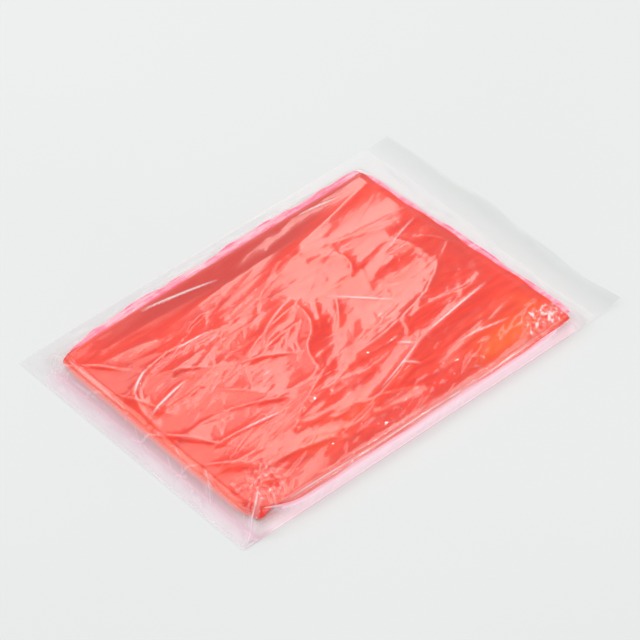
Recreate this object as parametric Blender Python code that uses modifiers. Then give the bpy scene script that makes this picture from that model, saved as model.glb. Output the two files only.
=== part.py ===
"""A rain poncho of red plastic film, folded into a flat pack inside its clear packet.

The pack lies on its underside. Metres, +Z up. The origin is under the middle of the packet,
+X runs from the packet's sealed end to its mouth, and +Y to the far long side.
"""

import math

import bmesh
import bpy

MM = 0.001

# The packet: two flat films welded on three sides, with a lip past the mouth.
PACKET_LENGTH = 260 * MM
PACKET_WIDTH = 175 * MM
LIP_LENGTH = 18 * MM
LIP_RISE = 4 * MM
LIP_BEND_LENGTH = 30 * MM
LIP_FAR_SHARE = 0.25
FILM_WALL = 0.8 * MM
PACKET_MOUTH = PACKET_LENGTH / 2 - LIP_LENGTH

# The folded poncho in it, nearer to one long side than to the other, slanted at the mouth.
PACK_ROLLED_END = -117 * MM
PACK_MOUTH_END = 97 * MM
PACK_MOUTH_SKEW = 4 * MM
PACK_NEAR_SIDE = -84.5 * MM
PACK_FAR_SIDE = 71.5 * MM
CORNER_PULL = 0.025
CORNER_SHARPNESS = 10
PANEL_WALL = 1.0 * MM
ROLL_DEPTH = 3.2 * MM
LEAF_DROOP = 0.35
LEAF_NEAR_RECESS = 0.8 * MM

# The hidden turns of front, back and hood, pressed into one stack: thin at its edges and
# crowned in the middle. A higher power keeps the crown flat until closer to that edge.
STACK_EDGE_HEIGHT = 2.7 * MM
STACK_CROWN_RISE = 4.6 * MM
CROWN_POWER_ENDS = 3.2
CROWN_POWER_NEAR = 3.6
CROWN_POWER_FAR = 2.6
LEAF_GROOVE = 0.9 * MM
LEAF_WANDER = 0.7 * MM

# Neighbours keep a gap. The front film stands off a little more where it bridges folds.
SEAM_GAP = 0.3 * MM
FILM_EASE = 0.7 * MM
FILM_SLACK = 0.7 * MM
BRIDGE_FADE = 0.12
FOLD_FADE = 9 * MM

# Levels, from the surface up, and the line where the top leaf starts to roll round the end.
PANEL_BASE = FILM_WALL + SEAM_GAP
STACK_BASE = PANEL_BASE + PANEL_WALL + SEAM_GAP
ROLL_START = PACK_ROLLED_END + PANEL_WALL + ROLL_DEPTH

# How finely each sheet is divided along and across, with lines closer towards its edges.
BACK_FILM_CELLS = (20, 6)
BACK_FILM_FLAT_CELLS = 6
PANEL_CELLS = (34, 24)
STACK_CELLS = (18, 12)
LEAF_CELLS = (30, 20)
LINE_CROWDING = 0.5
ROLL_CELLS = 6
UNDER_CELLS = 6
MARGIN_SHARES = (0.0, 0.12, 0.34, 0.56, 0.8)

# The largest folds of the top leaf, in millimetres: each runs straight from start to end.
# Columns: start x, start y, end x, end y, half width, height.
PANEL_FOLDS = (
    (-110, 6, -103, 27, 6.5, 2.0),
    (-103, 27, -72, 33, 6.5, 2.1),
    (-72, 33, -36, 25, 6.5, 1.7),
    (-107, 5, -82, 12, 6.0, 1.7),
    (-98, 18, -58, 21, 6.0, 1.3),
    (-52, 2, -4, 14, 7.5, 2.1),
    (-2, 14, -26, -25, 7.0, 2.0),
    (-52, 1, -27, -13, 6.0, 1.5),
    (16, 5, -2, -15, 6.0, 1.4),
    (22, 32, 38, 14, 6.5, 1.5),
    (68, 20, 76, -11, 6.5, 1.7),
    (62, -6, 26, -14, 9.0, 1.7),
    (84, -37, 28, -47, 7.0, 1.9),
    (28, -47, -24, -64, 7.0, 2.0),
    (80, -60, 20, -68, 6.5, 1.6),
    (-110, -46, -76, -51, 6.5, 1.8),
    (-105, -31, -64, -36, 6.0, 1.5),
    (-106, -16, -78, -18, 6.0, 1.3),
    (-66, -52, -20, -30, 8.0, 1.6),
    (-101, -67, -92, -68, 9.0, 1.9),
    (-60, 50, 30, 52, 8.0, 1.4),
)

# The folded edges that show on the sides of the stack, from the bottom up, in millimetres.
# Columns: how far the edge lies back on the near side, on the far side, at the mouth end.
STACK_LEAVES = (
    (0.9, 0.0, 2.6),
    (0.0, 1.5, 0.6),
    (1.3, 0.4, 1.2),
)

# The leaf under the top one stands out past it, in waves along its edge: the mean overhang
# and the wave height in millimetres, and the number of waves.
LEAF_FAR = (2.6, 1.0, 5)
LEAF_MOUTH = (2.0, 0.8, 3)


def clear_scene():
    for old in list(bpy.data.objects):
        bpy.data.objects.remove(old, do_unlink=True)


def smooth(t):
    t = min(1.0, max(0.0, t))
    return t * t * (3 - 2 * t)


def blend(a, b, t):
    return a + (b - a) * t


def crowded(t):
    """Moves -1..1 onto itself with the lines closer together towards both ends."""
    return (1 - LINE_CROWDING) * t + LINE_CROWDING * math.sin(math.pi * t / 2)


def grid_step(unit, cells):
    """The number of the grid line that a place from -1 to 1 lies on."""
    return round((unit + 1) / 2 * cells)


def make_material(name, colour, roughness, alpha=1.0):
    material = bpy.data.materials.new(name)
    material.use_nodes = True
    shader = material.node_tree.nodes["Principled BSDF"]
    shader.inputs["Base Color"].default_value = (*colour, 1.0)
    shader.inputs["Roughness"].default_value = roughness
    shader.inputs["Metallic"].default_value = 0.0
    shader.inputs["Alpha"].default_value = alpha
    material.diffuse_color = (*colour, alpha)
    return material


def add_object(name, mesh_builder, material, collection):
    mesh = bpy.data.meshes.new(name)
    mesh_builder.to_mesh(mesh)
    mesh_builder.free()
    mesh.materials.append(material)
    mesh.shade_smooth()
    mesh.set_sharp_from_angle(angle=math.radians(50))
    obj = bpy.data.objects.new(name, mesh)
    collection.objects.link(obj)
    return obj


def add_wall(sheet, thickness):
    """Gives an open sheet its thickness, on its outer side."""
    wall = sheet.modifiers.new("wall", "SOLIDIFY")
    wall.thickness = thickness
    wall.offset = 1.0
    wall.use_even_offset = True


def unit_slab(cells_x, cells_y, cells_z=1):
    """A closed slab over x and y from -1 to 1 and z from 0 to 1, divided into cells."""
    slab = bmesh.new()
    bmesh.ops.create_grid(slab, x_segments=cells_x, y_segments=cells_y, size=1.0)
    lower = slab.faces[:]
    raised = bmesh.ops.extrude_face_region(slab, geom=lower, use_keep_orig=True)["geom"]
    upper = {item for item in raised if isinstance(item, bmesh.types.BMVert)}
    for vert in upper:
        vert.co.z = 1.0
    bmesh.ops.reverse_faces(slab, faces=lower)
    upright = [e for e in slab.edges if (e.verts[0] in upper) != (e.verts[1] in upper)]
    if cells_z > 1:
        bmesh.ops.subdivide_edges(slab, edges=upright, cuts=cells_z - 1, use_grid_fill=True)
    bmesh.ops.recalc_face_normals(slab, faces=slab.faces)
    return slab


def mouth_end(y):
    """X of the pack's mouth end, which slants a little across the packet."""
    middle = (PACK_NEAR_SIDE + PACK_FAR_SIDE) / 2
    half = (PACK_FAR_SIDE - PACK_NEAR_SIDE) / 2
    return PACK_MOUTH_END - PACK_MOUTH_SKEW * (y - middle) / half


def pack_plan(u, v):
    """The place in plan of a point of the pack, u along it and v across it, each -1 to 1."""
    pull_u = 1 - CORNER_PULL * abs(v) ** CORNER_SHARPNESS
    pull_v = 1 - CORNER_PULL * abs(u) ** CORNER_SHARPNESS
    y = blend(PACK_NEAR_SIDE, PACK_FAR_SIDE, (v * pull_v + 1) / 2)
    x = blend(ROLL_START, mouth_end(y), (u * pull_u + 1) / 2)
    return x, y


def stack_height(u, v):
    power = CROWN_POWER_FAR if v > 0 else CROWN_POWER_NEAR
    crown = (1 - abs(u) ** CROWN_POWER_ENDS) * (1 - abs(v) ** power)
    return STACK_EDGE_HEIGHT + STACK_CROWN_RISE * crown


def fold_rise(x, y):
    """How far the top leaf stands above the stack, from the nearest of its folds."""
    highest = 0.0
    for row in PANEL_FOLDS:
        x0, y0, x1, y1, half_width, height = (value * MM for value in row)
        run_x, run_y = x1 - x0, y1 - y0
        length = math.hypot(run_x, run_y)
        along = ((x - x0) * run_x + (y - y0) * run_y) / length
        share = min(1.0, max(0.0, along / length))
        offset = math.hypot(x - x0 - run_x * share, y - y0 - run_y * share)
        highest = max(highest, height * math.exp(-((offset / half_width) ** 2)))
    edge = min(x - ROLL_START, mouth_end(y) - x, y - PACK_NEAR_SIDE, PACK_FAR_SIDE - y)
    return highest * smooth(edge / FOLD_FADE)


def second_leaf_base(u, v):
    """The height of the second leaf's lower face, close on the stack."""
    return STACK_BASE + stack_height(u, v) + SEAM_GAP


def top_leaf_base(u, v):
    """The height of the top leaf's inner face, with its folds."""
    return second_leaf_base(u, v) + PANEL_WALL + SEAM_GAP + fold_rise(*pack_plan(u, v))


def lip_rise(x, y):
    """The packet's mouth curls up off the surface, more at the near corner."""
    start = PACKET_LENGTH / 2 - LIP_BEND_LENGTH
    near_share = (PACKET_WIDTH / 2 - y) / PACKET_WIDTH
    bend = max(0.0, (x - start) / LIP_BEND_LENGTH)
    return LIP_RISE * bend**2 * blend(LIP_FAR_SHARE, 1.0, smooth(near_share))


def build_packet_back(material, collection):
    """The back film: flat on the surface, with its lip curling up past the mouth."""
    slab = unit_slab(*BACK_FILM_CELLS)
    cells = BACK_FILM_CELLS[0]
    flat_cells = BACK_FILM_FLAT_CELLS
    flat_end = PACKET_LENGTH / 2 - LIP_BEND_LENGTH
    for vert in slab.verts:
        column = grid_step(vert.co.x, cells)
        if column <= flat_cells:
            x = blend(-PACKET_LENGTH / 2, flat_end, column / flat_cells)
        else:
            x = blend(flat_end, PACKET_LENGTH / 2, (column - flat_cells) / (cells - flat_cells))
        y = vert.co.y * PACKET_WIDTH / 2
        vert.co = (x, y, lip_rise(x, y) + FILM_WALL * vert.co.z)
    return add_object("packet_back", slab, material, collection)


def film_station(step, cells):
    """Reads one line of the front film's grid.

    Gives the line's place on the pack, -1 to 1, and its share of the way in from the
    packet's edge to the pack, which is 1 over the pack itself.
    """
    margin = len(MARGIN_SHARES)
    on_pack = step - margin
    if on_pack < 0:
        return -1.0, MARGIN_SHARES[step]
    if on_pack > cells:
        return 1.0, MARGIN_SHARES[cells + 2 * margin - step]
    return crowded(2 * on_pack / cells - 1), 1.0


def film_point(column, row):
    """A point of the front film's inner face, over the pack or in the margin round it."""
    u, share_x = film_station(column, PANEL_CELLS[0])
    v, share_y = film_station(row, PANEL_CELLS[1])
    x, y = pack_plan(u, v)
    if u == -1.0:
        x = PACK_ROLLED_END - FILM_EASE
    if u == 1.0:
        x += FILM_EASE
    if abs(v) == 1.0:
        y += v * FILM_EASE
    x = blend(-PACKET_LENGTH / 2 if u < 0 else PACKET_MOUTH, x, share_x)
    y = blend(math.copysign(PACKET_WIDTH / 2, v), y, share_y)
    bridge = FILM_SLACK * smooth((1 - max(abs(u), abs(v))) / BRIDGE_FADE)
    over_pack = top_leaf_base(u, v) + PANEL_WALL + SEAM_GAP + bridge
    weld = MARGIN_SHARES[1]
    climb = smooth((min(share_x, share_y) - weld) / (1 - weld))
    return x, y, blend(FILM_WALL + SEAM_GAP, over_pack, climb) + lip_rise(x, y)


def build_packet_front(material, collection):
    """The front film: welded round three sides, drawn over the pack, open at the mouth."""
    columns, rows = (cells + 2 * len(MARGIN_SHARES) for cells in PANEL_CELLS)
    film = bmesh.new()
    bmesh.ops.create_grid(film, x_segments=columns, y_segments=rows, size=1.0)
    for vert in film.verts:
        vert.co = film_point(grid_step(vert.co.x, columns), grid_step(vert.co.y, rows))
    front = add_object("packet_front", film, material, collection)
    add_wall(front, FILM_WALL)
    return front


def leaf_retreat(share, column, along):
    """How far the stack's side lies back at a share of its height: edges between grooves."""
    place = share * len(STACK_LEAVES)
    index = min(len(STACK_LEAVES) - 1, int(place))
    bulge = max(0.0, math.sin(math.pi * (place - index)))
    wander = LEAF_WANDER * math.sin(7.0 * along + 2.1 * index + column)
    return blend(LEAF_GROOVE, max(0.0, STACK_LEAVES[index][column] * MM + wander), bulge)


def build_folded_layers(material, collection):
    """The hidden turns of the poncho, one crowned solid whose sides show the folded edges."""
    slab = unit_slab(*STACK_CELLS, 2 * len(STACK_LEAVES))
    for vert in slab.verts:
        u, v, share = crowded(vert.co.x), crowded(vert.co.y), vert.co.z
        x, y = pack_plan(u, v)
        roundness = math.sqrt(max(0.0, 1 - (2 * share - 1) ** 2))
        if u < 0:
            x += u * (ROLL_DEPTH - 2 * SEAM_GAP) * roundness
        else:
            x -= u * leaf_retreat(share, 2, v)
        side = 0 if v < 0 else 1
        y -= v * (leaf_retreat(share, side, u) + LEAF_GROOVE * (1 - roundness))
        vert.co = (x, y, STACK_BASE + share * stack_height(u, v))
    return add_object("folded_layers", slab, material, collection)


def build_back_panel(material, collection):
    """The outer turn: over the stack with its folds, round the sealed end, and flat under it."""
    top_cells, cells_across = PANEL_CELLS
    columns = top_cells + ROLL_CELLS + UNDER_CELLS
    sheet = bmesh.new()
    bmesh.ops.create_grid(sheet, x_segments=columns, y_segments=cells_across, size=1.0)
    under_level = PANEL_BASE + PANEL_WALL
    for vert in sheet.verts:
        column = grid_step(vert.co.x, columns) - ROLL_CELLS - UNDER_CELLS
        u = crowded(2 * max(0, column) / top_cells - 1)
        v = crowded(vert.co.y)
        x, y = pack_plan(u, v)
        z = top_leaf_base(u, v)
        if -ROLL_CELLS <= column < 0:
            turn = math.pi * column / ROLL_CELLS
            x += ROLL_DEPTH * math.sin(turn)
            z = blend(z, under_level, (1 - math.cos(turn)) / 2)
        elif column < -ROLL_CELLS:
            x = blend(x, mouth_end(y) - PANEL_WALL, (-column - ROLL_CELLS) / UNDER_CELLS)
            z = under_level
        vert.co = (x, y, z)
    panel = add_object("back_panel", sheet, material, collection)
    add_wall(panel, PANEL_WALL)
    return panel


def leaf_edge(shape, along):
    """How far the second leaf's edge stands out at a place along it, 0 to 1."""
    mean, wave, count = shape
    ripple = math.sin(math.tau * count * along)
    ripple += 0.4 * math.sin(math.tau * (2.7 * count * along + 0.3))
    return (mean + wave * ripple) * MM


def build_front_panel(material, collection):
    """The second leaf: close on the stack, its far and mouth edges standing out in a droop."""
    cells_x, cells_y = LEAF_CELLS
    sheet = bmesh.new()
    bmesh.ops.create_grid(sheet, x_segments=cells_x + 1, y_segments=cells_y + 1, size=1.0)
    for vert in sheet.verts:
        column = grid_step(vert.co.x, cells_x + 1)
        row = grid_step(vert.co.y, cells_y + 1)
        u = crowded(2 * min(column, cells_x) / cells_x - 1)
        v = crowded(2 * min(row, cells_y) / cells_y - 1)
        x, y = pack_plan(u, v)
        onward = leaf_edge(LEAF_MOUTH, (v + 1) / 2) if column > cells_x else 0.0
        across = leaf_edge(LEAF_FAR, (u + 1) / 2) if row > cells_y else 0.0
        if row == 0:
            y += LEAF_NEAR_RECESS
        z = second_leaf_base(u, v) - LEAF_DROOP * (onward + across)
        vert.co = (x + onward, y + across, z)
    panel = add_object("front_panel", sheet, material, collection)
    add_wall(panel, PANEL_WALL)
    return panel


def main():
    clear_scene()
    collection = bpy.data.collections.new("folded_rain_poncho")
    bpy.context.scene.collection.children.link(collection)
    red_film = make_material("red_film", (0.93, 0.075, 0.045), 0.3)
    red_leaf = make_material("red_leaf", (0.95, 0.20, 0.18), 0.35)
    clear_film = make_material("clear_film", (0.93, 0.94, 0.94), 0.12, alpha=0.25)
    build_packet_back(clear_film, collection)
    build_front_panel(red_leaf, collection)
    build_folded_layers(red_film, collection)
    build_back_panel(red_film, collection)
    build_packet_front(clear_film, collection)


main()
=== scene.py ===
"""The looks of a folded rain poncho of red film in its clear packet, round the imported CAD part.

Lengths are in millimetres until a mesh is made. +X runs from the packet's sealed end to its
mouth, +Y to its far long side, and z is 0 on the surface that it lies on.
"""

import math

import bpy
import numpy as np
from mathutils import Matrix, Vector


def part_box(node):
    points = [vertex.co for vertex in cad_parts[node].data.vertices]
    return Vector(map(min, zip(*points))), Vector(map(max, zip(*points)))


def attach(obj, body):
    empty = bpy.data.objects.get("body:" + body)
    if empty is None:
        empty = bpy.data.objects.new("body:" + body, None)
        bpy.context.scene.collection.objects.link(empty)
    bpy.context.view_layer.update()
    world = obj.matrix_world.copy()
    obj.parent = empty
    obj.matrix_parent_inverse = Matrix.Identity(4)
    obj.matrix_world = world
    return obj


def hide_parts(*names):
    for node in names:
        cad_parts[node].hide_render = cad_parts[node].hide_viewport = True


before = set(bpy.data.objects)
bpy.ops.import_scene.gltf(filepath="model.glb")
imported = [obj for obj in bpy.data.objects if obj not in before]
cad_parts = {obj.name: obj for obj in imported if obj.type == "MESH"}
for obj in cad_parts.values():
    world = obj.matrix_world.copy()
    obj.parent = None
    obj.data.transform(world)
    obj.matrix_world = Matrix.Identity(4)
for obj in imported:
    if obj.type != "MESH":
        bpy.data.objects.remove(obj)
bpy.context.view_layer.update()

MM = 0.001


def node_box(node):
    """A CAD node's lowest and highest corner, in millimetres."""
    low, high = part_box(node)
    return np.array(low) / MM, np.array(high) / MM


BACK_HIGH = node_box("packet_back")[1]
FRONT_HIGH = node_box("packet_front")[1]
PANEL_LOW, PANEL_HIGH = node_box("back_panel")

# The pack in plan, and the slant of its mouth end.
PACK_END = PANEL_LOW[0]
PACK_NEAR = PANEL_LOW[1]
PACK_FAR = PANEL_HIGH[1]
PACK_MIDDLE = (PACK_NEAR + PACK_FAR) / 2
MOUTH_SKEW = 4.0
PACK_MOUTH = PANEL_HIGH[0] - MOUTH_SKEW

# The roll at the sealed end: its depth, and the share of its fall at which it reaches out most.
ROLL_DEPTH = 4.4
ROLL_START = PACK_END + ROLL_DEPTH
ROLL_LOWEST = 0.72

# Heights: the pack's rim over the surface, the crown's rise, and how flat the crown is.
PACK_BASE = 1.1
RIM_HEIGHT = 7.6
CROWN_RISE = 4.6
CROWN_POWER_ENDS = 2.6
CROWN_POWER_SIDES = 2.4

# The packet's films.
PACKET_HALF = BACK_HIGH[0]
PACKET_SIDE = BACK_HIGH[1]
MOUTH_LINE = FRONT_HIGH[0]
LIP_RISE = 3.6
LIP_BEND = 30.0
FILM_GAP = 0.5
WELD_LEVEL = 0.55
BACK_LEVEL = 0.25

# The large creases that both films show.
# Columns: start x, start y, end x, end y, bow, height, width left of the run, width right.
MAIN_CREASES = (
    (-112, 2, -104, 26, 2.0, 1.1, 5.0, 3.0),
    (-105, 26, -70, 33, 2.0, 1.3, 6.0, 3.0),
    (-74, 33, -36, 25, 1.0, 0.9, 6.0, 4.0),
    (-109, 5, -82, 12, 1.0, 0.9, 4.0, 2.5),
    (-98, 18, -60, 22, 0.5, 0.7, 3.0, 4.0),
    (-90, 4, -58, 9, 0.5, 0.6, 3.5, 3.5),
    (-52, 1, -4, 14, 2.5, 1.2, 7.0, 5.0),
    (-44, -2, -12, 3, 1.5, 0.6, 3.5, 3.0),
    (-5, 14, -16, -10, 3.0, 1.2, 5.0, 5.0),
    (-16, -8, -27, -26, -2.0, 1.0, 4.0, 5.0),
    (-52, 1, -26, -14, 1.5, 0.8, 5.0, 3.0),
    (14, 5, 0, -13, 1.0, 0.5, 4.0, 2.5),
    (4, 10, -8, -8, 0.5, 0.4, 2.5, 2.5),
    (20, 33, 38, 26, 2.0, 0.8, 5.0, 4.0),
    (38, 26, 34, 14, 1.5, 0.6, 3.0, 4.0),
    (66, 20, 73, -4, 2.0, 0.8, 4.0, 4.0),
    (79, 12, 90, -2, 1.5, 0.6, 3.0, 3.0),
    (74, -9, 46, -25, 1.5, 1.0, 8.0, 4.0),
    (47, -24, -6, -33, 2.5, 0.9, 7.0, 4.0),
    (84, -37, 28, -47, 0.5, 1.2, 5.0, 6.0),
    (30, -46, -24, -64, 1.0, 1.2, 5.0, 6.0),
    (84, -55, 20, -66, 1.0, 0.8, 4.0, 5.0),
    (-112, -46, -78, -51, 1.0, 0.9, 4.0, 4.0),
    (-104, -32, -64, -37, 1.5, 0.8, 4.0, 3.0),
    (-108, -16, -80, -18, 1.0, 0.6, 3.0, 3.0),
    (-66, -52, -20, -30, 2.0, 0.9, 6.0, 5.0),
    (-50, -40, -8, -46, 1.5, 0.7, 4.0, 5.0),
    (-102, -66, -92, -69, 1.0, 1.4, 6.0, 5.0),
    (-60, 47, 34, 52, 1.5, 0.9, 6.0, 7.0),
    (-96, 58, -22, 52, 1.0, 0.7, 6.0, 5.0),
    (-115, 60, -99, 38, 1.0, 1.1, 7.0, 2.5),
    (-115, 32, -103, 2, 1.5, 1.0, 6.0, 2.5),
    (-115, -6, -97, -33, 1.0, 1.2, 7.0, 2.5),
    (-113, -36, -91, -58, 1.0, 1.1, 7.0, 3.0),
    (-102, 50, -72, 43, 1.0, 0.8, 5.0, 3.0),
    (-88, 24, -64, 8, 1.0, 0.8, 5.0, 2.5),
    (-80, -18, -50, -34, 1.0, 0.9, 6.0, 3.0),
    (-86, -60, -44, -70, 1.5, 0.9, 6.0, 3.5),
    (-74, -4, -58, -24, 1.0, 0.8, 5.0, 2.5),
    (-38, -56, 6, -70, 1.0, 0.8, 5.0, 3.5),
    (18, 42, 78, 25, 1.0, 0.8, 7.0, 6.0),
    (16, 45, 88, 61, -0.5, 1.4, 11.0, 10.0),
)

# Groups of small creases, strewn at random about a middle line.
# Columns: seed, count, middle x, middle y, spread x, spread y, angle, angle spread,
#          shortest, longest, gentlest slope, steepest slope, narrowest, widest.
PONCHO_SMALL = (
    (1, 60, -10, -10, 62, 40, 6, 14, 16, 70, 0.03, 0.12, 1.2, 5.0),
    (2, 22, -60, 10, 32, 32, 38, 24, 8, 30, 0.04, 0.14, 1.0, 3.0),
    (3, 22, 10, -8, 30, 26, 52, 24, 6, 28, 0.04, 0.14, 1.0, 3.0),
)
FILM_SMALL = (
    (11, 170, -5, -12, 68, 46, 8, 13, 8, 70, 0.04, 0.26, 0.5, 1.7),
    (12, 50, -70, -10, 30, 36, 20, 34, 6, 26, 0.05, 0.28, 0.5, 1.5),
    (13, 60, 28, -20, 34, 28, 34, 30, 5, 22, 0.05, 0.30, 0.5, 1.5),
    (14, 56, 84, -76, 11, 4, 24, 50, 3, 10, 0.2, 0.55, 0.7, 1.4),
    (15, 90, 20, -74, 60, 5, 6, 22, 5, 20, 0.10, 0.35, 0.6, 1.6),
    (16, 50, -100, -68, 10, 8, 30, 50, 4, 14, 0.15, 0.45, 0.6, 1.6),
)
MARGIN_SMALL = (
    (21, 50, -121, 0, 5, 60, 78, 26, 6, 30, 0.05, 0.25, 0.6, 2.0),
    (22, 70, -10, 79, 70, 4, 4, 14, 8, 45, 0.05, 0.25, 0.6, 2.2),
    (23, 30, 106, 0, 4, 50, 96, 14, 10, 50, 0.05, 0.2, 0.6, 2.0),
    (24, 60, -30, 73.5, 64, 1.8, 3, 7, 10, 40, 0.25, 0.8, 0.5, 1.0),
)
LIP_SMALL = ((31, 18, 118, 0, 6, 50, 92, 10, 20, 70, 0.02, 0.08, 1.5, 4.0),)

# Ridges of the clear film where it turns down at the rim, and at the packet's corner.
RIM_CREASES = (
    (-111, -81.5, -52, -82.8, 0.5, 1.0, 1.2, 1.4),
    (-58, -82.2, 6, -83.0, 0.6, 0.9, 1.2, 1.4),
    (0, -82.6, 58, -82.0, -0.5, 0.8, 1.2, 1.2),
    (52, -81.6, 92, -82.8, 0.4, 0.8, 1.0, 1.2),
    (-96, -84.4, -30, -84.9, 0.3, 0.8, 0.9, 0.9),
    (-26, -84.8, 30, -84.6, 0.2, 0.7, 0.9, 0.9),
    (-104, -69, -113, -76, 0.5, 1.8, 1.8, 1.8),
    (-111, -75, -127, -86, 0.4, 2.4, 1.5, 1.5),
    (-99, -72, -105, -84, 0.5, 1.0, 1.2, 1.2),
    (-114, -40, -121, -52, 0.5, 1.2, 1.2, 1.2),
    (-115, 64, -116, 20, 0.4, 0.7, 1.0, 1.0),
    (-90, 70.5, -20, 71.5, 0.6, 0.8, 1.2, 1.2),
    (-30, 71.8, 60, 70.8, 0.6, 0.8, 1.2, 1.2),
    (-84, 80, -46, 74, 0.5, 0.8, 1.2, 1.0),
    (-44, 81, -8, 74, 0.5, 0.9, 1.3, 1.0),
    (-6, 82, 26, 75, 0.5, 0.9, 1.3, 1.0),
    (28, 82.5, 58, 76, 0.5, 0.9, 1.3, 1.0),
    (56, 82, 86, 75, 0.5, 0.8, 1.2, 1.0),
)

# Fine lines of the clear film that catch the light.
FILM_LINES = (
    (12, 7, 36, -17, 0.4, 0.3, 0.5, 0.5),
    (16, -41, 22, -47, 0.1, 0.3, 0.5, 0.5),
    (8, -53, 15, -59, 0.1, 0.3, 0.5, 0.5),
    (-109, 6, -84, 11, 0.4, 0.4, 0.6, 0.5),
    (-106, 23, -92, 31, 0.8, 0.4, 0.6, 0.5),
    (-64, 67, -22, 57, 0.8, 0.4, 0.5, 0.5),
    (80, -38, 34, -45, 0.3, 0.35, 0.5, 0.5),
    (26, -47, -12, -59, 0.4, 0.3, 0.5, 0.5),
    (-72, 31, -50, 29, 0.4, 0.3, 0.5, 0.5),
    (60, 14, 88, 24, 0.4, 0.25, 0.5, 0.5),
    (-30, 10, -4, 20, 0.5, 0.25, 0.5, 0.5),
    (-84, -34, -60, -38, 0.3, 0.3, 0.5, 0.5),
    (40, -60, 72, -64, 0.3, 0.3, 0.5, 0.5),
    (-100, -82.6, -44, -84.2, 0.3, 0.3, 0.4, 0.5),
    (-50, -84.0, 18, -84.8, 0.3, 0.3, 0.4, 0.5),
    (12, -84.6, 74, -83.6, -0.3, 0.25, 0.4, 0.5),
    (-106, -70, -112, -76, 0.3, 0.3, 0.5, 0.6),
    (-111, -75, -127, -86, 0.3, 0.3, 0.6, 0.7),
    (43, 66, 68, 62, 0.4, 0.3, 0.5, 0.5),
    (-40, 79.5, -10, 74.5, 0.4, 0.3, 0.5, 0.5),
    (0, 80.5, 24, 75.5, 0.4, 0.3, 0.5, 0.5),
    (32, 81, 54, 77, 0.4, 0.3, 0.5, 0.5),
)

# Groups of tiny painted white glints on the clear film, in the columns of the small creases.
SPARKLES = (
    (17, 34, 85, -75, 11, 5, 55, 45, 1.5, 5, 0.5, 0.8, 0.4, 0.5),
    (18, 12, -99, -67, 7, 6, 70, 40, 1.5, 4, 0.4, 0.7, 0.4, 0.5),
    (19, 22, 0, -12, 60, 44, 5, 20, 2, 9, 0.2, 0.6, 0.4, 0.5),
)

# Smooth patches where the small creases fade out.
# Columns: middle x, middle y, half length, half width, angle, strength.
CALM_PATCHES = (
    (66, 46, 26, 13, 14, 0.85),
    (34, -8, 30, 15, -22, 0.8),
    (-2, -46, 24, 10, 8, 0.55),
    (-58, 57, 46, 9, -6, 0.7),
    (-84, -26, 18, 10, 20, 0.4),
    (30, 56, 30, 8, 8, 0.95),
    (-1, -16, 16, 9, 30, 0.8),
)

# Soft strokes of deeper red, painted shade along creases and bands, and of orange, in the
# stacked film.
# Columns as for the large creases, with the strength in place of the height.
SHADE_STROKES = (
    (-98, 62, -22, 52, 1.0, 1.0, 6.0, 5.0),
    (-24, 52, 60, 52, 1.5, 0.9, 6.0, 5.0),
    (14, 4, 5, -7, 1.0, 0.7, 1.6, 1.4),
    (74, -9, 47, -24, 1.0, 0.9, 3.0, 5.0),
    (48, -24, -4, -32, 1.0, 0.8, 3.0, 4.0),
    (78, -72, -2, -80, 0.5, 0.7, 4.0, 3.0),
    (-2, -80, -86, -79, 0.5, 0.7, 3.0, 3.0),
    (-108, 22, -90, 44, 2.0, 0.8, 8.0, 6.0),
    (-96, 16, -60, 20, 0.5, 0.7, 3.0, 3.0),
    (92, 30, 84, -30, 3.0, 0.8, 6.0, 9.0),
    (-60, -2, -40, -16, 0.5, 0.7, 4.0, 3.0),
    (-20, 30, 10, 22, 1.0, 0.6, 4.0, 3.0),
    (-100, -60, -60, -58, 1.0, 0.5, 5.0, 4.0),
    (10, -54, 70, -50, 1.0, 0.6, 4.0, 4.0),
)
WARM_STROKES = (
    (44, -75, 82, -70, 0.5, 1.8, 6.0, 5.0),
    (84, -52, 92, -74, 1.0, 0.5, 5.0, 6.0),
    (-70, -66, -20, -64, 1.0, 0.35, 5.0, 5.0),
)

# The far band that is painted darker as shade: its inner edge, and how softly it starts.
FAR_SHADE_X = (-110, -20, 20, 45, 90)
FAR_SHADE_Y = (62, 46, 47, 53, 61)
FAR_SHADE_SOFTNESS = 8.0

# Layers of crumple. Columns: seed, height, length, width, angle.
SHARED_CRUMPLE = (
    (41, 0.5, 70, 20, 8),
    (42, 0.34, 34, 12, 24),
    (43, 0.22, 26, 9, -14),
    (44, 0.15, 18, 9, 52),
)
PONCHO_CRUMPLE = ((51, 0.07, 24, 4.5, 6), (52, 0.04, 30, 2.4, 12))
FILM_CRUMPLE = ((61, 0.09, 30, 4.0, 8), (62, 0.035, 9, 2.6, 30), (63, 0.04, 40, 2.2, 5))

# How far a crease's crest is rounded.
CREST_ROUNDING = 0.22

# How the edges of the sheets wander. Columns: height, length over one radian, phase.
TOP_EDGE_WAVES = ((0.5, 9.0, 0), (0.35, 3.7, 1))
TOP_SIDE_WAVES = ((0.35, 11.0, 0), (0.25, 4.3, 2))
ROLL_WAVES = ((0.05, 7.0, 0), (0.03, 2.9, 0))
LEAF_FAR_WAVES = ((0.9, 13.0, 0), (0.5, 5.1, 1), (0.2, 2.2, 0))
LEAF_MOUTH_WAVES = ((0.7, 12.0, 2), (0.4, 4.6, 0))
MOUTH_WAVES = ((0.8, 23.0, 0), (0.4, 7.0, 0))
LIP_WAVES = ((1.3, 19.0, 1), (0.7, 8.0, 0))

# The outer turn: how far its sides droop, how far it lies inside the pack's plan below, and
# half the width of the strip along its middle that isn't drawn in there.
SIDE_DROOP, DROOP_WIDTH = 0.9, 2.5
UNDER_INSET, UNDER_STRIP = 3.0, 12

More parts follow.
